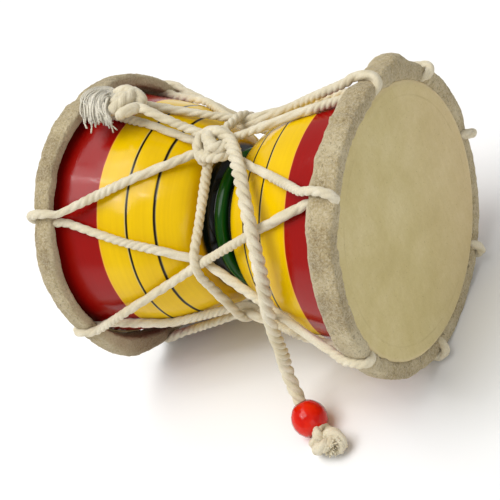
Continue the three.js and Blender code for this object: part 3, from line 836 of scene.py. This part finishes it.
for i, stops in enumerate(WAIST_BIGHTS):
    stops = [(0.5 + (x - 0.5) * 0.86, r, 88.5 + (d - 88.5) * 0.84) for x, r, d in stops]
    parts.append(rope_mesh(catmull([at(*p) for p in stops], 12), 2.45, 11, around=30, step=0.45, soft=0.68, hand=-1, seed=91 + i, wobble=0.06, yarn=0.03, taper=(2, 2)))
v, q, t = join_meshes(parts)
waist_knot = mesh_object("waist_knot_tied", v, q, t, material=MAT["cotton"])


def guide(stops, per=10):
    """a curve through (x, r, angle) stops"""
    return catmull([at(*p) for p in stops], per)


BIGHT_A = [(-30.5, 58.5, 99.0), (-34.0, 61.5, 102.5), (-36.7, 63.3, 103.0), (-37.6, 64.6, 97.6), (-41.0, 64.2, 93.4), (-46.0, 61.8, 92.9), (-51.0, 60.2, 97.0)]
BIGHT_B = [(-29.3, 59.0, 96.5), (-31.2, 61.6, 94.3), (-34.6, 62.4, 91.4), (-39.0, 61.2, 90.6), (-42.5, 59.0, 92.2)]
BIGHT_C = [(-54.8, 60.6, 102.0), (-52.4, 62.6, 104.8), (-46.3, 63.8, 105.6), (-40.4, 63.2, 105.3), (-37.1, 61.2, 107.5)]
BIGHT_D = [(-50.5, 60.0, 94.0), (-48.0, 62.3, 98.0), (-45.0, 63.4, 101.5), (-40.5, 62.2, 101.0), (-34.0, 60.0, 96.0)]
parts = []
drawn_in = lambda stops: [(-43.0 + (x + 42.5) * 0.74, 60.3 + (r - 60.3) * 0.9, 97.6 + (d - 98.2) * 0.86) for x, r, d in stops]
for i, (stops, r) in enumerate(((BIGHT_A, 2.75), (BIGHT_B, 2.5), (BIGHT_C, 2.45), (BIGHT_D, 2.45))):
    parts.append(rope_mesh(guide(drawn_in(stops), 14), r, 13, around=36, step=0.45, soft=0.74, seed=195 + i, wobble=0.06, yarn=0.03, taper=(3, 3)))
knot_parts, parts = parts, []
FAN = np.array([
    [(-50.0, 61.5, 103.5), (-55.4, 63.4, 105.0), (-60.2, 65.8, 101.2), (-62.0, 66.4, 96.4), (-59.6, 64.8, 91.6), (-57.8, 62.0, 88.0)],
    [(-49.0, 62.0, 101.0), (-53.0, 64.4, 101.4), (-54.2, 66.2, 96.4), (-52.4, 66.4, 91.6), (-51.4, 64.4, 88.0), (-51.9, 60.4, 85.4)],
    [(-48.5, 61.0, 98.5), (-50.6, 62.6, 98.0), (-48.2, 64.0, 94.2), (-45.8, 63.8, 90.8), (-44.2, 61.6, 88.6), (-43.8, 58.4, 87.0)]])
g = np.random.default_rng(97)
for i in range(135):
    u = g.uniform(0, 2) if i > 3 else (0.9, 2.0, 1.9, 0.2)[i]
    k, f = min(1, int(u)), u - min(1, int(u))
    line = FAN[k] * (1 - f) + FAN[k + 1] * f
    depth = g.uniform(-1, 1)
    pts = []
    for j, (x, r, d) in enumerate(line):
        open_ = j / 5
        pts.append(at(x + g.normal(scale=0.25 + 0.35 * open_), r + depth * (1.0 + 0.7 * open_ * (1 - open_) * 2) - (0.5 if j == 0 else 0), d + g.normal(scale=0.25 + 0.5 * open_)))
    cut = g.uniform(0.82, 1.0) if i > 3 else 1.0
    C = catmull(pts, 7)
    if i <= 3:
        C = np.vstack([C, C[-1] + (C[-1] - C[-4]) * 0.9 + np.array([0.6 * (i - 1), -0.4, -0.3])])
    C = C[: max(12, int(len(C) * cut))]
    parts.append(rope_mesh(C, g.uniform(0.40, 0.60), 2.6, around=7, step=0.7, lobes=2, soft=0.78, seed=300 + i, wobble=0.12, yarn=0.0, lay_noise=0))
v, q, t = join_meshes(parts)
tassel = mesh_object("tie_frayed_end", v, q, t, material=MAT["thread"])
# the cord's other end comes back to the tie from the waist knot
parts = knot_parts
parts.append(rope_mesh(guide([(-37.0, 60.0, 97.5), (-31.0, 59.6, 95.6), (-24.0, 55.2, 95.6), (-16.0, 50.2, 95.8), (-8.6, 45.8, 96.2), (-5.0, 44.0, 95.0)], 14), 2.05, 14, around=24, step=0.6, soft=0.66, seed=231, wobble=0.05, yarn=0.02))
v, q, t = join_meshes(parts)
tie = mesh_object("tie_knot_tied", v, q, t, material=MAT["cotton"])

# ------------------------------------------------------------------ place everything on the frame
for ob in [body, lace, belt, waist_knot, tie, tassel] + heads + hoops:
    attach(ob, "root")
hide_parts("drum_body")
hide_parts("near_head_skin"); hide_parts("far_head_skin")
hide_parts("near_hoop"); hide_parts("far_hoop")
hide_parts("lacing_cord"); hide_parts("waist_cord"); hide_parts("waist_knot"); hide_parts("tie_knot")
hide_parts("tie_knot")

# ------------------------------------------------------------------ stage
fm, nt, p = new_material("pale_floor")
p.inputs["Base Color"].default_value = (0.93, 0.93, 0.93, 1)
p.inputs["Roughness"].default_value = 0.9
p.inputs["Specular IOR Level"].default_value = 0.1
me = bpy.data.meshes.new("floor")
me.from_pydata([(-3, -3, 0), (3, -3, 0), (3, 3, 0), (-3, 3, 0)], [], [(0, 1, 2, 3)])
me.materials.append(fm)
floor = bpy.data.objects.new("floor", me)
bpy.context.scene.collection.objects.link(floor)

scene = bpy.context.scene
scene.view_settings.view_transform = "Standard"
world = bpy.data.worlds.new("studio")
world.use_nodes = True
bg = world.node_tree.nodes["Background"]
bg.inputs[0].default_value = (1, 1, 1, 1)
bg.inputs[1].default_value = 0.44
scene.world = world


def area_light(name, loc, target, size, energy, size_y=None, color=(1, 1, 1)):
    d = bpy.data.lights.new(name, "AREA")
    d.energy = energy; d.size = size; d.color = color
    if size_y: d.shape = "RECTANGLE"; d.size_y = size_y
    o = bpy.data.objects.new(name, d)
    o.location = loc
    o.rotation_euler = (Vector(target) - Vector(loc)).to_track_quat("-Z", "Y").to_euler()
    bpy.context.scene.collection.objects.link(o)
    return o


def from_dir(d, dist):
    v = Vector(d).normalized() * dist
    return (v.x, v.y, v.z + 0.06)


mid = (0, 0, 0.06)
area_light("overhead", (-0.5, -0.6, 2.1), mid, 1.6, 36)
area_light("softbox", from_dir((-0.45, 0.25, 0.86), 1.0), mid, 0.42, 1.25)
area_light("lamp_a", from_dir((-0.295, -0.457, 0.839), 1.0), mid, 0.035, 0.30)
area_light("lamp_b", from_dir((0.10, -0.40, 0.91), 1.0), mid, 0.035, 0.26)
area_light("lamp_c", from_dir((-0.43, -0.21, 0.878), 1.0), mid, 0.03, 0.16)
area_light("fill", (0.9, -0.7, 0.35), mid, 0.6, 1.2)
